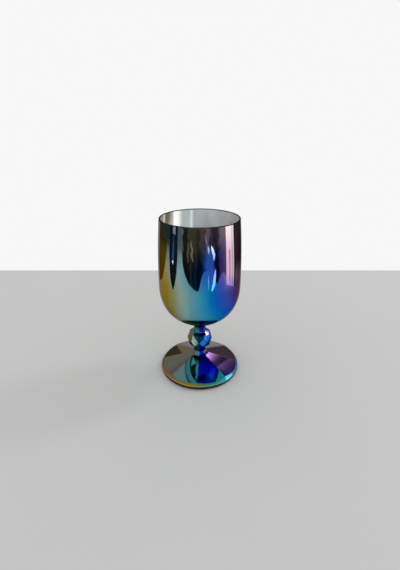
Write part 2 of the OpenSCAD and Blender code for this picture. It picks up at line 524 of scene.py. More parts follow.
def ring_tree():
    """Repeats a sector round the axis, welds it to one closed skin and gives it its finish."""
    tree = bpy.data.node_groups.new("Ring round the axis", "GeometryNodeTree")
    sockets = (
        ("Sector", "NodeSocketGeometry"),
        ("Count", "NodeSocketInt"),
        ("Weld distance", "NodeSocketFloat"),
        ("Finish", "NodeSocketMaterial"),
        ("Lining finish", "NodeSocketMaterial"),
    )
    for name, kind in sockets:
        tree.interface.new_socket(name=name, in_out="INPUT", socket_type=kind)
    tree.interface.new_socket(name="Piece", in_out="OUTPUT", socket_type="NodeSocketGeometry")
    graph = Graph(tree)
    given = graph.node("NodeGroupInput").outputs
    points = graph.node("GeometryNodePoints", Count=given["Count"])
    index = Value(graph, graph.node("GeometryNodeInputIndex").outputs[0])
    count = Value(graph, given["Count"])
    turn = graph.math("DIVIDE", index * math.tau, count)
    rotation = graph.node("ShaderNodeCombineXYZ", Z=turn)
    ring = graph.node(
        "GeometryNodeInstanceOnPoints",
        Points=points.outputs[0],
        Instance=given["Sector"],
        Rotation=rotation.outputs[0],
    )
    real = graph.node("GeometryNodeRealizeInstances", Geometry=ring.outputs[0])
    welded = graph.node(
        "GeometryNodeMergeByDistance", Geometry=real.outputs[0], Distance=given["Weld distance"]
    )
    finished = graph.node("GeometryNodeSetMaterial", Geometry=welded.outputs[0], Material=given["Finish"])
    lined = graph.node("GeometryNodeInputNamedAttribute", {"data_type": "BOOLEAN"}, Name="lined")
    lining = graph.node(
        "GeometryNodeSetMaterial",
        Geometry=finished.outputs[0],
        Selection=lined.outputs[0],
        Material=given["Lining finish"],
    )
    graph.node("NodeGroupOutput", in_0=lining.outputs[0])
    return tree


def ring_piece(name, sector, tree, count, finish, lining, soften=False):
    """The whole piece, as a plain mesh, with its sharp edges softened where that is asked for."""
    draft = bpy.data.objects.new("draft", sector)
    bpy.context.scene.collection.objects.link(draft)
    ring = draft.modifiers.new("Ring", "NODES")
    ring.node_group = tree
    given = {
        "Count": count,
        "Weld distance": WELD,
        "Finish": finish,
        "Lining finish": lining,
    }
    for socket in tree.interface.items_tree:
        if socket.name in given:
            ring[socket.identifier] = given[socket.name]
    if soften:
        bevel = draft.modifiers.new("Softened edges", "BEVEL")
        bevel.width = SOFT_EDGE
        bevel.segments = SOFT_EDGE_SEGMENTS
        bevel.limit_method = "ANGLE"
        bevel.angle_limit = SOFTENED_FROM
    depsgraph = bpy.context.evaluated_depsgraph_get()
    mesh = bpy.data.meshes.new_from_object(draft.evaluated_get(depsgraph))
    mesh.name = name
    bpy.data.objects.remove(draft)
    piece = bpy.data.objects.new(name, mesh)
    bpy.context.scene.collection.objects.link(piece)
    return piece


# Finishes. The film's colours stand as stops of degrees round from the side that faces -Y to the right

# Rounded bottom of the bowl
LOW_BANDS = (
    (-180, (0.34, 0.34, 0.08)),
    (-150, (0.14, 0.40, 0.34)),
    (-122, (0.32, 0.38, 0.14)),
    (-95, (0.38, 0.24, 0.03)),
    (-66, (0.56, 0.45, 0.10)),
    (-57, (0.42, 0.32, 0.03)),
    (-45, (0.36, 0.26, 0.01)),
    (-35, (0.35, 0.34, 0.14)),
    (-24, (0.37, 0.48, 0.41)),
    (-15, (0.285, 0.52, 0.49)),
    (-7, (0.16, 0.44, 0.51)),
    (1, (0.09, 0.42, 0.58)),
    (8, (0.03, 0.36, 0.64)),
    (16, (0.003, 0.25, 0.66)),
    (24, (0.003, 0.16, 0.67)),
    (32, (0.02, 0.12, 0.66)),
    (42, (0.055, 0.09, 0.54)),
    (55, (0.095, 0.06, 0.27)),
    (66, (0.12, 0.05, 0.12)),
    (95, (0.26, 0.06, 0.16)),
    (120, (0.48, 0.14, 0.16)),
    (150, (0.50, 0.28, 0.05)),
    (180, (0.34, 0.34, 0.08)),
)

# Upright wall of the bowl
HIGH_BANDS = (
    (-180, (0.42, 0.42, 0.14)),
    (-150, (0.20, 0.46, 0.42)),
    (-122, (0.40, 0.44, 0.20)),
    (-90, (0.50, 0.33, 0.06)),
    (-57, (0.50, 0.33, 0.06)),
    (-46, (0.42, 0.37, 0.12)),
    (-35, (0.30, 0.44, 0.34)),
    (-24, (0.33, 0.55, 0.55)),
    (-14, (0.18, 0.44, 0.55)),
    (-4, (0.08, 0.30, 0.60)),
    (6, (0.03, 0.20, 0.66)),
    (18, (0.03, 0.13, 0.66)),
    (27, (0.07, 0.10, 0.62)),
    (34, (0.17, 0.12, 0.56)),
    (42, (0.50, 0.31, 0.43)),
    (49, (0.42, 0.31, 0.38)),
    (56, (0.32, 0.26, 0.27)),
    (68, (0.18, 0.12, 0.14)),
    (96, (0.36, 0.12, 0.30)),
    (122, (0.58, 0.22, 0.26)),
    (150, (0.56, 0.36, 0.12)),
    (180, (0.42, 0.42, 0.14)),
)

# Wall of the bowl near the rim, where the film thins out
RIM_BANDS = (
    (-180, (0.52, 0.52, 0.40)),
    (-140, (0.44, 0.56, 0.54)),
    (-90, (0.44, 0.42, 0.34)),
    (-57, (0.40, 0.42, 0.38)),
    (-44, (0.30, 0.38, 0.42)),
    (-24, (0.34, 0.52, 0.58)),
    (-12, (0.50, 0.56, 0.48)),
    (0, (0.52, 0.50, 0.42)),
    (10, (0.54, 0.42, 0.42)),
    (24, (0.52, 0.42, 0.50)),
    (38, (0.68, 0.61, 0.62)),
    (50, (0.60, 0.55, 0.56)),
    (56, (0.36, 0.33, 0.33)),
    (64, (0.34, 0.26, 0.28)),
    (98, (0.50, 0.32, 0.42)),
    (130, (0.62, 0.44, 0.42)),
    (180, (0.52, 0.52, 0.40)),
)

# Lower facets of the knop
KNOP_BANDS = (
    (-180, (0.36, 0.36, 0.26)),
    (-100, (0.22, 0.20, 0.10)),
    (-66, (0.24, 0.20, 0.06)),
    (-46, (0.20, 0.17, 0.05)),
    (-41, (0.10, 0.12, 0.06)),
    (-37, (0.66, 0.84, 0.72)),
    (-22, (0.52, 0.74, 0.68)),
    (-8, (0.16, 0.42, 0.44)),
    (-2, (0.03, 0.12, 0.20)),
    (2, (0.004, 0.06, 0.26)),
    (10, (0.012, 0.38, 0.92)),
    (30, (0.010, 0.30, 0.86)),
    (46, (0.006, 0.10, 0.52)),
    (70, (0.03, 0.10, 0.46)),
    (110, (0.30, 0.24, 0.50)),
    (150, (0.42, 0.38, 0.40)),
    (180, (0.36, 0.36, 0.26)),
)

# Upper facets of the knop
CROWN_BANDS = (
    (-180, (0.40, 0.42, 0.40)),
    (-100, (0.20, 0.22, 0.16)),
    (-66, (0.16, 0.20, 0.15)),
    (-40, (0.12, 0.26, 0.26)),
    (-14, (0.03, 0.14, 0.20)),
    (-2, (0.012, 0.06, 0.16)),
    (6, (0.004, 0.02, 0.24)),
    (20, (0.02, 0.04, 0.34)),
    (26, (1.00, 0.92, 0.80)),
    (60, (0.95, 0.86, 0.78)),
    (72, (0.08, 0.10, 0.40)),
    (110, (0.30, 0.26, 0.44)),
    (180, (0.40, 0.42, 0.40)),
)

# Flats of the necks
NECK_BANDS = (
    (-180, (0.40, 0.34, 0.16)),
    (-90, (0.16, 0.26, 0.18)),
    (-46, (0.05, 0.30, 0.34)),
    (-3, (0.02, 0.24, 0.34)),
    (2, (0.006, 0.03, 0.42)),
    (40, (0.010, 0.012, 0.36)),
    (56, (0.12, 0.06, 0.32)),
    (110, (0.36, 0.22, 0.34)),
    (180, (0.40, 0.34, 0.16)),
)

# Inside of the bowl, as far round as on its outside: the silvery film, with painted reflections in it,
# bright strips near -163, -136 and -108 degrees and dark ones between them
LINING_AND_REFLECTION_BANDS = (
    (-180, (0.70, 0.75, 0.77)),
    (-172, (0.62, 0.67, 0.69)),
    (-167, (0.50, 0.58, 0.62)),
    (-163, (0.90, 1.00, 1.00)),
    (-159, (0.48, 0.57, 0.60)),
    (-148, (0.44, 0.49, 0.46)),
    (-144, (0.76, 0.80, 0.76)),
    (-140, (1.00, 1.00, 0.98)),
    (-132, (1.00, 1.00, 0.98)),
    (-129, (0.16, 0.13, 0.10)),
    (-125, (0.22, 0.18, 0.13)),
    (-113, (0.12, 0.10, 0.07)),
    (-108, (1.00, 0.96, 0.88)),
    (-103, (0.20, 0.18, 0.13)),
    (-60, (0.46, 0.47, 0.44)),
    (0, (0.60, 0.62, 0.61)),
    (80, (0.50, 0.49, 0.48)),
    (125, (0.60, 0.59, 0.59)),
    (150, (0.74, 0.77, 0.78)),
    (163, (0.84, 0.90, 0.92)),
    (172, (0.72, 0.77, 0.79)),
    (180, (0.72, 0.78, 0.80)),
)

# Facets of the foot
FACET_BANDS = (
    (-180, (0.50, 0.54, 0.54)),
    (-142, (0.42, 0.45, 0.42)),
    (-128, (0.27, 0.22, 0.14)),
    (-96, (0.27, 0.23, 0.14)),
    (-84, (0.19, 0.21, 0.14)),
    (-64, (0.18, 0.21, 0.17)),
    (-54, (0.22, 0.16, 0.15)),
    (-46, (0.17, 0.12, 0.12)),
    (-38, (0.15, 0.33, 0.33)),
    (-8, (0.10, 0.33, 0.36)),
    (-1, (0.08, 0.36, 0.42)),
    (1, (0.002, 0.04, 0.62)),
    (24, (0.001, 0.02, 0.62)),
    (44, (0.004, 0.03, 0.62)),
    (47, (0.30, 0.18, 0.74)),
    (56, (0.52, 0.24, 0.70)),
    (74, (0.36, 0.17, 0.54)),
    (86, (0.26, 0.18, 0.36)),
    (96, (0.27, 0.20, 0.28)),
    (130, (0.27, 0.20, 0.26)),
    (142, (0.48, 0.48, 0.52)),
    (180, (0.50, 0.54, 0.54)),
)

# Rounded edge of the foot
EDGE_BANDS = (
    (-180, (0.50, 0.26, 0.24)),
    (-120, (0.38, 0.20, 0.08)),
    (-84, (0.26, 0.14, 0.05)),
    (-58, (0.36, 0.13, 0.04)),
    (-34, (0.36, 0.18, 0.04)),
    (-10, (0.34, 0.27, 0.01)),
    (10, (0.10, 0.30, 0.05)),
    (27, (0.02, 0.36, 0.30)),
    (47, (0.06, 0.64, 0.76)),
    (66, (0.04, 0.36, 0.54)),
    (88, (0.08, 0.22, 0.54)),
    (125, (0.30, 0.12, 0.46)),
    (180, (0.50, 0.26, 0.24)),
)

# Fire-polished glass under a film: its tint, its faint wear, its ripples and the film's slow drift
FILM_TINT = (0.5, 0.46, 0.52, 1)
WEAR_SCALE = 160
WEAR_ROUGHNESS = 0.03
POLISHED = 0.02
RIPPLE_SCALE = 60
RIPPLE_STRENGTH = 0.3
RIPPLE_H = 0.02 * MM
DRIFT_SCALE = 60
DRIFT = 5


class Glass:
    """A finish in the making: its graph, and where a point lies on the goblet."""

    def __init__(self, name):
        self.material = bpy.data.materials.new(name)
        self.material.use_nodes = True
        self.graph = Graph(self.material.node_tree)
        self.shader = self.material.node_tree.nodes["Principled BSDF"]
        self.place, self.azimuth, self.r, self.z = self.graph.place_round_axis()

    def film(self, bands, turn):
        """The film's colour where it runs round the axis by a turn."""
        share = self.graph.math("FRACT", turn * (1 / math.tau) + 0.5)
        return self.graph.ramp(share, [(degrees / 360 + 0.5, colour) for degrees, colour in bands])

    def between(self, start, full, still, end):
        """Rises to 1 and falls again round the axis, at four angles in degrees."""
        start, full, still, end = (math.radians(angle) for angle in (start, full, still, end))
        return self.graph.span(self.azimuth, start, full) * self.graph.span(self.azimuth, end, still)

    def uneven(self, degrees=DRIFT, scale=DRIFT_SCALE):
        """A slow drift of the film's thickness, as a turn."""
        return (self.graph.noise(self.place, scale, 3) - 0.5) * math.radians(degrees)

    def polish(self, colour, roughness=POLISHED, ripple=RIPPLE_H, metallic=1.0):
        """The gloss of the glass, with faint wear and ripples."""
        graph = self.graph
        graph.feed(self.shader, "Base_Color", colour)
        graph.feed(self.shader, "Metallic", metallic)
        graph.feed(self.shader, "Specular_Tint", FILM_TINT)
        worn = graph.noise(self.place, WEAR_SCALE, 4)
        graph.feed(self.shader, "Roughness", worn * WEAR_ROUGHNESS + roughness)
        waves = graph.noise(self.place, RIPPLE_SCALE, 1)
        bump = graph.node("ShaderNodeBump", Height=waves, Strength=RIPPLE_STRENGTH, Distance=ripple)
        graph.feed(self.shader, "Normal", bump.outputs[0])
        return self.material


# Marks on the films, and painted shade, dark reflections and a glint on them. A span is (from, to), with the
# values at its ends where those aren't 0 and 1.
# Angles are (start, full, still, end) in degrees, as between() takes them

# Bowl: low down, the bands of the front swing farther round to the right
SWING_Z = (74 * MM, 99 * MM, math.radians(36), 0)
WALL_Z = (100 * MM, 124 * MM)
BOWL_DRIFT_SCALE = 40
BOWL_DRIFT = 7
BOWL_RIPPLE_H = 0.014 * MM
# Pale teal low on the left, and lower still towards the front
PALE_SIDE_Z = (92 * MM, 78 * MM)
PALE_SIDE_ANGLES = (-150, -110, -62, -52)
PALE_UNDER_Z = (75 * MM, 71 * MM)
PALE_UNDER_ANGLES = (-80, -70, -40, -28)
PALE_TEAL = (0.46, 0.90, 0.95)
# Painted shade under the bowl: a dark leaf low on the left, which climbs towards the front, and a dark
# crescent over the boss
LEAF_CLIMB = 6.6 * MM
LEAF_TOP_Z = (72.9 * MM, 72.5 * MM)
LEAF_LOW_Z = (68.1 * MM, 68.5 * MM)
LEAF_ANGLES = (-84, -79, -50, -44)
CRESCENT_TOP_Z = (65.4 * MM, 64.8 * MM)
CRESCENT_LOW_Z = (61.4 * MM, 62.0 * MM)
CRESCENT_ANGLES = (-44, -38, 46, 56)
PAINTED_SHADE_COVER = 0.95
PAINTED_SHADE_COLOUR = (0.006, 0.01, 0.018)
# The paler film under the rim, which starts higher on the right, and a painted dark reflection on the lip
RIGHT_SIDE = (-0.05, 0.25)
RIM_FILM_LAG = 15 * MM
RIM_FILM_Z = (119 * MM, 149 * MM, 0, 0.94)
LIP_Z = (BOWL_HIGH.z - 1.0 * MM, BOWL_HIGH.z - 0.6 * MM, 0, 0.9)
LIP_SHADE = (0.03, 0.025, 0.025)


def bowl_lustre():
    glass = Glass("bowl_lustre")
    graph = glass.graph
    turn = glass.azimuth + glass.uneven(BOWL_DRIFT, BOWL_DRIFT_SCALE)
    rightward = graph.math("MAXIMUM", graph.math("SINE", glass.azimuth), 0)
    low = glass.film(LOW_BANDS, turn - graph.span(glass.z, *SWING_Z) * rightward)
    high = glass.film(HIGH_BANDS, turn)
    colour = graph.mix(graph.span(glass.z, *WALL_Z), low, high)
    beside = graph.span(glass.z, *PALE_SIDE_Z) * glass.between(*PALE_SIDE_ANGLES)
    under = graph.span(glass.z, *PALE_UNDER_Z) * glass.between(*PALE_UNDER_ANGLES)
    colour = graph.mix(graph.math("MAXIMUM", beside, under), colour, PALE_TEAL)
    # Painted shade under the bowl: a dark leaf low on the left and a dark crescent over the boss
    climb = glass.z - glass.azimuth * LEAF_CLIMB
    leaf = graph.span(climb, *LEAF_TOP_Z) * graph.span(climb, *LEAF_LOW_Z)
    leaf = leaf * glass.between(*LEAF_ANGLES)
    crescent = graph.span(glass.z, *CRESCENT_TOP_Z) * graph.span(glass.z, *CRESCENT_LOW_Z)
    crescent = crescent * glass.between(*CRESCENT_ANGLES)
    marks = graph.math("MAXIMUM", leaf, crescent) * PAINTED_SHADE_COVER
    colour = graph.mix(marks, colour, PAINTED_SHADE_COLOUR)
    right = graph.span(graph.math("SINE", glass.azimuth), *RIGHT_SIDE)
    thinned = graph.span(glass.z - right * RIM_FILM_LAG, *RIM_FILM_Z)
    colour = graph.mix(thinned, colour, glass.film(RIM_BANDS, turn))
    # A painted dark reflection along the lip
    colour = graph.mix(graph.span(glass.z, *LIP_Z), colour, LIP_SHADE)
    return glass.polish(colour, ripple=BOWL_RIPPLE_H)


# Knop: the crown's own bands, a painted dark reflection as a wedge on the front that widens upwards, and
# painted shade at its foot
CROWN_Z = (KNOP_MIDDLE_Z + 6.1 * MM, KNOP_MIDDLE_Z + 6.6 * MM)
WEDGE_TURN = math.radians(3.7)
WEDGE_FLARE = math.radians(6) / MM
WEDGE_EDGE = (0, 0.06, 0, 0.9)
WEDGE_SHADE = (0.004, 0.03, 0.07)
KNOP_LOW_Z = (KNOP_MIDDLE_Z - 4.4 * MM, KNOP_MIDDLE_Z - 5.6 * MM, 0, 0.85)
KNOP_LOW_SHADE = (0.01, 0.05, 0.08)


def knop_lustre():
    glass = Glass("knop_lustre")
    graph = glass.graph
    turn = glass.azimuth + glass.uneven()
    crown = graph.span(glass.z, *CROWN_Z)
    colour = graph.mix(crown, glass.film(KNOP_BANDS, turn), glass.film(CROWN_BANDS, turn))
    # A painted dark reflection: a wedge on the front, turned towards the camera's side, that widens upwards
    off_wedge = graph.math("ABSOLUTE", glass.azimuth - WEDGE_TURN)
    wedge = (glass.z - KNOP_MIDDLE_Z) * WEDGE_FLARE - off_wedge
    colour = graph.mix(graph.span(wedge, *WEDGE_EDGE), colour, WEDGE_SHADE)
    # Painted shade at the knop's foot
    colour = graph.mix(graph.span(glass.z, *KNOP_LOW_Z), colour, KNOP_LOW_SHADE)
    return glass.polish(colour)


# Necks: painted shade under the bowl
UNDER_BOWL_Z = (BOWL_LOW.z - 5.5 * MM, BOWL_LOW.z - 0.5 * MM, 0, 0.85)
UNDER_BOWL_SHADE = (0.004, 0.012, 0.04)


def neck_lustre():
    glass = Glass("neck_lustre")
    graph = glass.graph
    colour = glass.film(NECK_BANDS, glass.azimuth + glass.uneven())
    # Painted shade under the bowl, towards the top of the upper neck
    colour = graph.mix(graph.span(glass.z, *UNDER_BOWL_Z), colour, UNDER_BOWL_SHADE)
    return glass.polish(colour)


# Foot: teal on the outer part of its front right facet, then a thin painted glint and painted shade low on
# its edge
TEAL_R = (24 * MM, 36 * MM)
TEAL_ANGLES = (8, 34, 46, 58)
TEAL = (0.02, 0.30, 0.42)
GLINT_LOW_Z = (4.2 * MM, 4.5 * MM)
GLINT_TOP_Z = (5.3 * MM, 5.0 * MM, 0, 0.25)
EDGE_LOW_Z = (5.0 * MM, 2.8 * MM, 0, 0.94)
EDGE_LOW_SHADE = (0.05, 0.02, 0.016)
FACETS_END_R = (FOOT_R - 2.7 * MM, FOOT_R - 1.7 * MM)


def foot_lustre():
    glass = Glass("foot_lustre")
    graph = glass.graph
    turn = glass.azimuth + glass.uneven()
    outer_front = graph.span(glass.r, *TEAL_R) * glass.between(*TEAL_ANGLES)
    facets = graph.mix(outer_front, glass.film(FACET_BANDS, turn), TEAL)
    # A painted glint: a thin line along the edge, mixed towards white
    glint = graph.span(glass.z, *GLINT_LOW_Z) * graph.span(glass.z, *GLINT_TOP_Z)
    edge = graph.mix(glint, glass.film(EDGE_BANDS, turn), (1, 1, 1))
    # Painted shade low on the edge
    edge = graph.mix(graph.span(glass.z, *EDGE_LOW_Z), edge, EDGE_LOW_SHADE)
    return glass.polish(graph.mix(graph.span(glass.r, *FACETS_END_R), facets, edge))


# Inside of the bowl: painted upright streaks of reflected light, pale and dim, over its bands
STREAK_STRETCH = (1, 1, 0.3)
LINING_DRIFT_SCALE = 34
LINING_DRIFT = math.radians(12)
STREAK_SCALE = 62
PALE_STREAKS = (0.52, 0.66, 0, 0.4)
DIM_STREAKS = (0.44, 0.32, 0, 0.4)
DIM_GREY = (0.42, 0.43, 0.42)
LINING_ROUGHNESS = 0.25
LINING_RIPPLE_H = 0.03 * MM
LINING_METALLIC = 0.1


def silvery_lining():
    """The inside of the bowl, where the film is thin and silvery, with painted reflections in its bands and
    streaks.
    """
    glass = Glass("silvery_lining")
    graph = glass.graph
    stretched = graph.node("ShaderNodeMapping", Vector=glass.place, Scale=STREAK_STRETCH).outputs[0]
    drift = (graph.noise(stretched, LINING_DRIFT_SCALE, 2) - 0.5) * LINING_DRIFT
    # Painted reflections: bright and dark strips in the bands, then pale and dim streaks over them
    bands = glass.film(LINING_AND_REFLECTION_BANDS, glass.azimuth + drift)
    streaks = graph.noise(stretched, STREAK_SCALE, 3)
    pale = graph.mix(graph.span(streaks, *PALE_STREAKS), bands, (1, 1, 1))
    colour = graph.mix(graph.span(streaks, *DIM_STREAKS), pale, DIM_GREY)
    return glass.polish(colour, LINING_ROUGHNESS, LINING_RIPPLE_H, LINING_METALLIC)


# Cards round the goblet, which only its gloss sees. Angles are degrees round from the camera's side
# to the right, and distances are from the axis

# Heights and reaches of the cards, the degrees between a high card's corners, and the width of its fade
CARD_Z = 0.6 * MM
SLIT_Z = 2.4 * MM
SLIT_END_SHARE = 0.15
FAR = 5.0
HIGH_REACH = 1.6
HIGH_CARD_STEP = 6
FADE = 6

# Upright bands: the angle that they start at and how much they span, how they sway, and the distances
# between which the near ones give way to the far ones
BAND_START = -60
BAND_SPAN = 150
BAND_SWAY = math.radians(16)
SWAY_SCALE = 2.2
SWAY_TURN = 1.5
SWAY_DEPTH = 1.6
FAR_BANDS_FROM = (0.45, 0.90)


class CardLight:
    """What a card sends to the gloss, by how far round it is (as a turn), how far out and how high."""

    def __init__(self, name):
        self.material = bpy.data.materials.new(name)
        self.material.use_nodes = True
        self.graph = Graph(self.material.node_tree)
        self.material.node_tree.nodes.clear()
        _, azimuth, self.reach, z = self.graph.place_round_axis()
        self.turn = azimuth - CAMERA_TURN
        self.rise = self.graph.math("ARCTAN2", z, self.reach)

    def send(self, colour, strength=1.0, cover=1.0):
        colour = (*colour, 1) if isinstance(colour, tuple) else colour
        light = self.graph.node("ShaderNodeEmission", Color=colour, Strength=strength).outputs[0]
        clear = self.graph.node("ShaderNodeBsdfTransparent").outputs[0]
        mixed = self.graph.node("ShaderNodeMixShader", in_0=cover, in_1=clear, in_2=light)
        self.graph.node("ShaderNodeOutputMaterial", Surface=mixed.outputs[0])
        return self.material


def plain_light(name, colour, strength):
    return CardLight(name).send(colour, strength)


def dimming_light(name, colour, distances, strengths):
    """Dims outwards between two distances."""
    light = CardLight(name)
    return light.send(colour, light.graph.span(light.reach, *distances, *strengths))


def rising_light(name, colour, angles, strengths):
    """Brightens between two angles, slowly at first."""
    light = CardLight(name)
    rise = light.graph.span(light.turn, *(math.radians(angle) for angle in angles))
    dim, bright = strengths
    return light.send(colour, rise * rise * (bright - dim) + dim)


def fading_light(name, colour, sides, start_fade):
    """Clears towards a card's sides, given as its angles (start, end, low, high)."""
    light = CardLight(name)
    span = light.graph.span
    start, end, low, high = (math.radians(angle) for angle in sides)
    soft = math.radians(FADE)
    cover = span(light.turn, start, start + math.radians(start_fade)) * span(light.turn, end, end - soft)
    cover = cover * span(light.rise, low, low + soft) * span(light.rise, high, high - soft)
    return light.send(colour, 1.0, cover)


def banded_light(name, near_bands, far_bands):
    """Upright bands, one set of them nearby and one farther out, that sway a little as they run outwards."""
    light = CardLight(name)
    graph = light.graph
    depth = graph.math("LOGARITHM", light.reach, math.e)
    spot = graph.node("ShaderNodeCombineXYZ", X=light.turn * SWAY_TURN, Y=depth * SWAY_DEPTH).outputs[0]
    sway = (graph.noise(spot, SWAY_SCALE, 2) - 0.5) * BAND_SWAY
    share = (light.turn + sway) * (math.degrees(1) / BAND_SPAN) - BAND_START / BAND_SPAN
    near_colour, far_colour = (
        graph.ramp(share, [((degrees - BAND_START) / BAND_SPAN, colour) for degrees, colour in bands])
        for bands in (near_bands, far_bands)
    )
    return light.send(graph.mix(graph.span(light.reach, *FAR_BANDS_FROM), near_colour, far_colour).socket)


def hide_from_all_but_gloss(card):
    card.visible_camera = False
    card.visible_diffuse = False
    card.visible_shadow = False
    card.visible_transmission = False
    card.visible_volume_scatter = False


def staged_mesh(name, corners, faces, material):
    mesh = bpy.data.meshes.new(name)
    mesh.from_pydata(corners, [], faces)
    mesh.materials.append(material)
    made = bpy.data.objects.new(name, mesh)
    bpy.context.scene.collection.objects.link(made)
    return made


def edge_distance(degrees, places):
    """How far out a card's near edge is at an angle, on a smooth curve through its places."""
    count = len(places)
    at = max(i for i in range(count - 1) if degrees >= places[i][0] or i == 0)
    before, a, b, after = (places[min(max(i, 0), count - 1)][1] for i in range(at - 1, at + 3))
    t = (degrees - places[at][0]) / (places[at + 1][0] - places[at][0])
    bend = 2 * before - 5 * a + 4 * b - after
    twist = -before + 3 * a - 3 * b + after
    return (2 * a + (b - before) * t + bend * t ** 2 + twist * t ** 3) / 2


def floor_card(places, far, layer, material):
    """A card just over the table, from a near edge given as (degrees, distance) out to a far distance."""
    start, end = places[0][0], places[-1][0]
    steps = max(2, round(end - start))
    z = CARD_Z * (1 + layer)
    corners = []
    for step in range(steps + 1):
        degrees = start + (end - start) * step / steps
        corners.append((*from_front(degrees, edge_distance(degrees, places)), z))
        corners.append((*from_front(degrees, far), z))
    faces = [(2 * i, 2 * i + 1, 2 * i + 3, 2 * i + 2) for i in range(steps)]
    hide_from_all_but_gloss(staged_mesh(material.name, corners, faces, material))


def slit_card(places, width, material):
    """A narrow card along a line of places, each as (degrees, distance), that thins towards its ends."""
    spots = [Vector(from_front(*place)) for place in places]
    last = len(spots) - 1
    corners = []
    for i, spot in enumerate(spots):
        along = (spots[min(i + 1, last)] - spots[max(i - 1, 0)]).normalized()
        half = width * (SLIT_END_SHARE if i in (0, last) else 0.5)
        side = Vector((-along.y, along.x)) * half
        corners += [(*(spot + side), SLIT_Z), (*(spot - side), SLIT_Z)]
    faces = [(2 * i, 2 * i + 1, 2 * i + 3, 2 * i + 2) for i in range(last)]
    hide_from_all_but_gloss(staged_mesh(material.name, corners, faces, material))


def high_card(sides, material):
    """A card round the goblet, whose sides are angles round (start, end) and over the table (low, high)."""
    start, end, low, high = sides
    corners = []
    steps = max(1, round((end - start) / HIGH_CARD_STEP))
    for step in range(steps + 1):
        degrees = start + (end - start) * step / steps
        for rise in (low, high):
            spot = from_front(degrees, HIGH_REACH * math.cos(math.radians(rise)))
            corners.append((*spot, HIGH_REACH * math.sin(math.radians(rise))))
    faces = [(2 * i, 2 * i + 2, 2 * i + 3, 2 * i + 1) for i in range(steps)]
    hide_from_all_but_gloss(staged_mesh(material.name, corners, faces, material))


DARK = (0.05, 0.042, 0.036)
WHITE = (1.0, 0.965, 0.97)

# The dim card in front: its bands nearby, its bands farther out, and its near edge
FRONT_NEAR_BANDS = (
    (-47, (0.10, 0.10, 0.10)),
    (-43, (0.012, 0.012, 0.012)),
    (-28, (0.012, 0.010, 0.008)),
    (-22, (0.07, 0.04, 0.03)),
    (-16, (0.012, 0.010, 0.010)),
    (-10, (0.03, 0.04, 0.05)),
    (-7, (0.008, 0.008, 0.012)),
    (2, (0.008, 0.012, 0.02)),
    (7, (0.03, 0.05, 0.06)),
    (13, (0.17, 0.21, 0.25)),
    (21, (0.42, 0.47, 0.49)),
    (32, (0.46, 0.50, 0.52)),
    (38, (0.30, 0.30, 0.32)),
    (41, (0.02, 0.02, 0.02)),
    (48, (0.02, 0.02, 0.02)),
    (54, (0.18, 0.16, 0.18)),
    (72, (0.20, 0.18, 0.19)),
)
FRONT_FAR_BANDS = (
    (-47, (0.16, 0.17, 0.18)),
    (-42, (0.018, 0.018, 0.015)),
    (-34, (0.018, 0.017, 0.013)),
    (-28, (0.07, 0.065, 0.055)),
    (-10, (0.06, 0.056, 0.05)),
    (-3, (0.03, 0.028, 0.025)),
    (2, (0.08, 0.07, 0.065)),
    (11, (0.11, 0.09, 0.09)),
    (13, (0.04, 0.035, 0.04)),
    (15, (0.19, 0.165, 0.18)),
    (26, (0.19, 0.165, 0.18)),
    (28, (0.03, 0.03, 0.03)),
    (31, (0.08, 0.08, 0.085)),
    (35, (0.035, 0.035, 0.035)),
    (48, (0.05, 0.045, 0.05)),
    (56, (0.24, 0.22, 0.22)),
    (72, (0.24, 0.21, 0.22)),
)
FRONT_EDGE = (
    (-47, 0.66), (-44, 0.48), (-38, 0.385), (-29, 0.325), (-20, 0.297), (-11, 0.280), (-5, 0.276),
    (-1, 0.290), (2, 0.335), (6, 0.38), (12, 0.42), (22, 0.42), (32, 0.40), (38, 0.36), (42, 0.325),
    (45, 0.312), (48, 0.325), (52, 0.35), (57, 0.375), (64, 0.38), (72, 0.34),
)
UMBER_EDGE = ((-136, 0.262), (-127, 0.272), (-118, 0.285), (-109, 0.33), (-101, 0.41), (-96, 0.52))
NAVY_EDGE = (
    (-85, 0.50), (-83, 0.37), (-80, 0.315), (-76, 0.278), (-72, 0.262), (-68, 0.283), (-64, 0.325),
    (-61, 0.38), (-59, 0.50),
)

# Cards that dim outwards: name, near edge, far distance, layer, colour, the two distances, their strengths
DIMMING_CARDS = (
    ("umber_left", UMBER_EDGE, 0.70, 1, (0.17, 0.11, 0.012), (0.48, 0.70), (1.0, 0.4)),
    ("teal_gap_left", ((-96, 0.46), (-84, 0.46)), 0.74, 0, (0.9, 1, 1), (0.46, 0.74), (0.48, 0.06)),
    ("grey_gap_left", ((-62, 0.42), (-47, 0.42)), FAR, 0, (1, 1, 1), (0.42, 0.78), (0.48, 0.15)),
    ("plum_right", ((107, 0.25), (150, 0.25)), FAR, 1, (1, 0.88, 0.92), (0.27, 0.42), (0.44, 0.075)),
)

# Plain cards over the table: name, near edge, far distance, layer, colour, strength
PLAIN_CARDS = (
    ("umber_left_far", ((-136, 0.70), (-96, 0.70)), FAR, 1, (0.06, 0.06, 0.045), 1),
    ("navy_gap_left", ((-96, 0.74), (-84, 0.74)), FAR, 1, (0.03, 0.05, 0.07), 1),
    ("navy_left", NAVY_EDGE, FAR, 1, (0.010, 0.014, 0.025), 1),
    ("pale_slit_left", ((-75, 1.0), (-66, 1.0)), FAR, 2, (0.42, 0.38, 0.36), 1),
    ("bright_right", ((72, 0.288), (101, 0.262)), FAR, 0, WHITE, 1.5),
    ("bar_right", ((82, 0.30), (86, 0.30)), 0.60, 1, (0.66, 0.58, 0.58), 1),
    ("thin_bar_right", ((93, 0.28), (94.5, 0.28)), FAR, 1, (0.72, 0.66, 0.68), 1),
    ("dark_edge_right", ((101, 0.26), (107, 0.26)), FAR, 1, (0.034, 0.028, 0.03), 1),
)

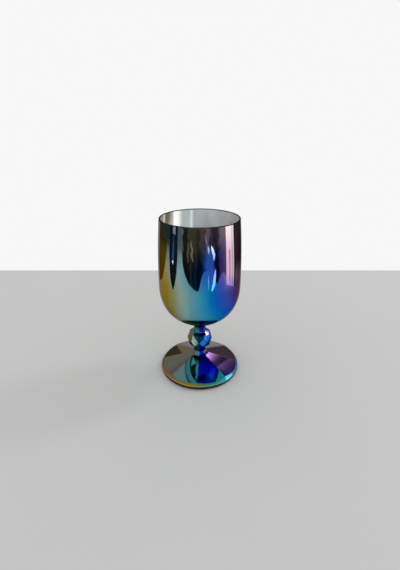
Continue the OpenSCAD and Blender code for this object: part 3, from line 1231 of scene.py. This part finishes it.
# Narrow cards: name, line, width, colour, strength
OLIVE_FOLD = ((-20, 0.98), (-23, 0.84), (-18, 0.72), (-21, 0.62), (-16, 0.52))
SLIT_CARDS = (
    ("blue_slit_left", ((-72.5, 0.45), (-73, 0.50), (-72, 0.70), (-71, 0.95)), 0.06, (0.05, 0.11, 0.26), 1),
    ("spark_left", ((-72.5, 0.445), (-73, 0.46), (-72.5, 0.48)), 0.035, WHITE, 3),
    ("olive_slit", ((-31, 0.90), (-29, 0.74), (-31, 0.62), (-29, 0.50)), 0.05, (0.15, 0.125, 0.08), 1),
    ("olive_fold", OLIVE_FOLD, 0.06, (0.27, 0.22, 0.13), 1),
    ("lilac_slit", ((14, 1.2), (17, 0.98), (20, 0.84)), 0.05, WHITE, 0.5),
    ("lilac_spark", ((21, 0.80), (23, 0.72), (23, 0.64)), 0.06, (1, 1, 0.6), 2.2),
    ("blue_spark", ((30, 0.80), (33, 0.70), (37, 0.60), (36, 0.53)), 0.06, (1, 1, 0.5), 5),
    ("blue_slit", ((22, 0.38), (22, 0.33), (22.5, 0.278)), 0.018, (1, 0.75, 0.45), 2.5),
    ("warm_slit", ((40, 0.42), (38.5, 0.37), (36, 0.31), (30, 0.272)), 0.035, (1, 0.7, 0.4), 7),
)

# Plain high cards: name, sides, colour, strength
HIGH_CARDS = (
    ("bright_right_high", (74, 100, 0.5, 20), WHITE, 1.3),
    ("dark_front_high", (-60, 64, 47, 80), DARK, 1),
    ("dark_left_high", (-103, -86, 38, 46), DARK, 1),
    ("dark_right_high", (84, 100, 40, 48), DARK, 1),
)

# High cards that fade at their sides: name, sides, colour, width of the fade at the start
FADING_CARDS = (
    ("dusk_right", (109, 144, 21, 59), (0.06, 0.065, 0.11), FADE),
    ("dark_back_right", (109, 171, 0, 27), (0.18, 0.155, 0.155), FADE),
    ("dark_back_left", (-161.8, -126, 0, 29), (0.14, 0.125, 0.10), 0.4),
)

# The bright card at the back, with the angles and the strengths between which it brightens
BRIGHT_BACK = (141, 157, 33, 52)
BRIGHT_BACK_ANGLES = (141, 146.5)
BRIGHT_BACK_STRENGTHS = (0.05, 2.6)


def add_cards():
    floor_card(FRONT_EDGE, FAR, 1, banded_light("dim_front", FRONT_NEAR_BANDS, FRONT_FAR_BANDS))
    for name, places, far, layer, colour, distances, strengths in DIMMING_CARDS:
        floor_card(places, far, layer, dimming_light(name, colour, distances, strengths))
    for name, places, far, layer, colour, strength in PLAIN_CARDS:
        floor_card(places, far, layer, plain_light(name, colour, strength))
    for name, places, width, colour, strength in SLIT_CARDS:
        slit_card(places, width, plain_light(name, colour, strength))
    for name, sides, colour, strength in HIGH_CARDS:
        high_card(sides, plain_light(name, colour, strength))
    for name, sides, colour, start_fade in FADING_CARDS:
        high_card(sides, fading_light(name, colour, sides, start_fade))
    high_card(BRIGHT_BACK, rising_light("bright_back", WHITE, BRIGHT_BACK_ANGLES, BRIGHT_BACK_STRENGTHS))


# Table, whose back edge runs level across the picture
TABLE_BACK = 0.275
TABLE_REACH = 3.0
TABLE_TONES = ((0.61, 0.618, 0.608), (0.63, 0.638, 0.628))
TABLE_GRAIN_SCALE = 9
TABLE_ROUGHNESS = 0.9


def add_table():
    material = bpy.data.materials.new("pale_table")
    material.use_nodes = True
    graph = Graph(material.node_tree)
    shader = material.node_tree.nodes["Principled BSDF"]
    place = graph.node("ShaderNodeTexCoord").outputs["Object"]
    grain = graph.noise(place, TABLE_GRAIN_SCALE, 4)
    graph.feed(shader, "Base_Color", graph.mix(grain, *TABLE_TONES))
    graph.feed(shader, "Roughness", TABLE_ROUGHNESS)
    graph.feed(shader, "Specular_IOR_Level", 0.0)
    corners = []
    for right, away in ((-1, -TABLE_REACH), (1, -TABLE_REACH), (1, TABLE_BACK), (-1, TABLE_BACK)):
        x, y = turned(right * TABLE_REACH, away, CAMERA_TURN)
        corners.append((x, y, 0))
    staged_mesh("table", corners, [(0, 1, 2, 3)], material)


# Light from all round, with what the camera sees more of and the gloss less of
WORLD_LIGHT = 0.84
SEEN_MORE = 0.09
GLOSS_LESS = 0.34

# A soft lamp at the back right, and a narrow beam over the rim into the bowl
LAMP_PLACE = (1.7, 0.8, 1.6)
LAMP_SIZE = 0.5
LAMP_POWER = 7
BEAM_PLACE = (0.894, -0.958, 1.068)
BEAM_AIM = (-0.0242, 0.026, 0.146)
BEAM_SPREAD = math.radians(2.0)
BEAM_SOURCE_R = 0.01
BEAM_POWER = 90


def add_world():
    world = bpy.data.worlds.new("pale_world")
    world.use_nodes = True
    graph = Graph(world.node_tree)
    world.node_tree.nodes.clear()
    path = graph.node("ShaderNodeLightPath").outputs
    seen = Value(graph, path["Is Camera Ray"])
    gloss = Value(graph, path["Is Glossy Ray"])
    strength = WORLD_LIGHT + seen * SEEN_MORE - gloss * GLOSS_LESS
    light = graph.node("ShaderNodeBackground", Color=(1, 1, 1, 1), Strength=strength)
    graph.node("ShaderNodeOutputWorld", Surface=light.outputs[0])
    bpy.context.scene.world = world


def add_light(data, place, aim):
    """A light at a place, turned to the point that it is aimed at, which the gloss doesn't mirror."""
    light = bpy.data.objects.new(data.name, data)
    light.location = place
    light.rotation_euler = (Vector(aim) - Vector(place)).to_track_quat("-Z", "Y").to_euler()
    light.visible_glossy = False
    bpy.context.scene.collection.objects.link(light)
    return light


def add_lamp():
    data = bpy.data.lights.new("soft_light_right", "AREA")
    data.shape = "DISK"
    data.size = LAMP_SIZE
    data.energy = LAMP_POWER
    add_light(data, LAMP_PLACE, (0, 0, 0))


def add_beam(bowl):
    """The beam lights the bowl alone, so that none of it falls on the table."""
    data = bpy.data.lights.new("light_into_bowl", "SPOT")
    data.spot_size = BEAM_SPREAD
    data.spot_blend = 1.0
    data.shadow_soft_size = BEAM_SOURCE_R
    data.energy = BEAM_POWER
    receivers = bpy.data.collections.new("light_into_bowl_receivers")
    receivers.objects.link(bowl)
    add_light(data, BEAM_PLACE, BEAM_AIM).light_linking.receiver_collection = receivers


def build_goblet():
    """Makes the five dressed pieces, each in the place of its node, and returns the bowl."""
    tree = ring_tree()
    bowl_finish = bowl_lustre()
    knop_finish = knop_lustre()
    neck_finish = neck_lustre()
    foot_finish = foot_lustre()
    inside = silvery_lining()
    upper_middle = (KNOP_HIGH.z + BOWL_LOW.z) / 2
    upper_neck = neck_sector("upper_neck_sector", KNOP_HIGH.z, BOWL_LOW.z, upper_middle)
    lower_neck = neck_sector("lower_neck_sector", FOOT_HIGH.z, KNOP_LOW.z, FOOT_HIGH.z)
    pieces = (
        ("bowl", bowl_sector(), BOWL_COLUMNS, bowl_finish, False),
        ("upper_neck", upper_neck, FACETS, neck_finish, False),
        ("knop", knop_sector(), FACETS, knop_finish, True),
        ("lower_neck", lower_neck, FACETS, neck_finish, False),
        ("foot", foot_sector(), FACETS, foot_finish, False),
    )
    made = []
    for node, sector, count, finish, soften in pieces:
        piece = ring_piece("lustred_" + node, sector, tree, count, finish, inside, soften)
        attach(piece, "root")
        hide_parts(node)
        made.append(piece)
    return made[0]


add_camera()
add_table()
add_world()
add_cards()
add_lamp()
add_beam(build_goblet())

bpy.context.scene.view_settings.view_transform = "Standard"
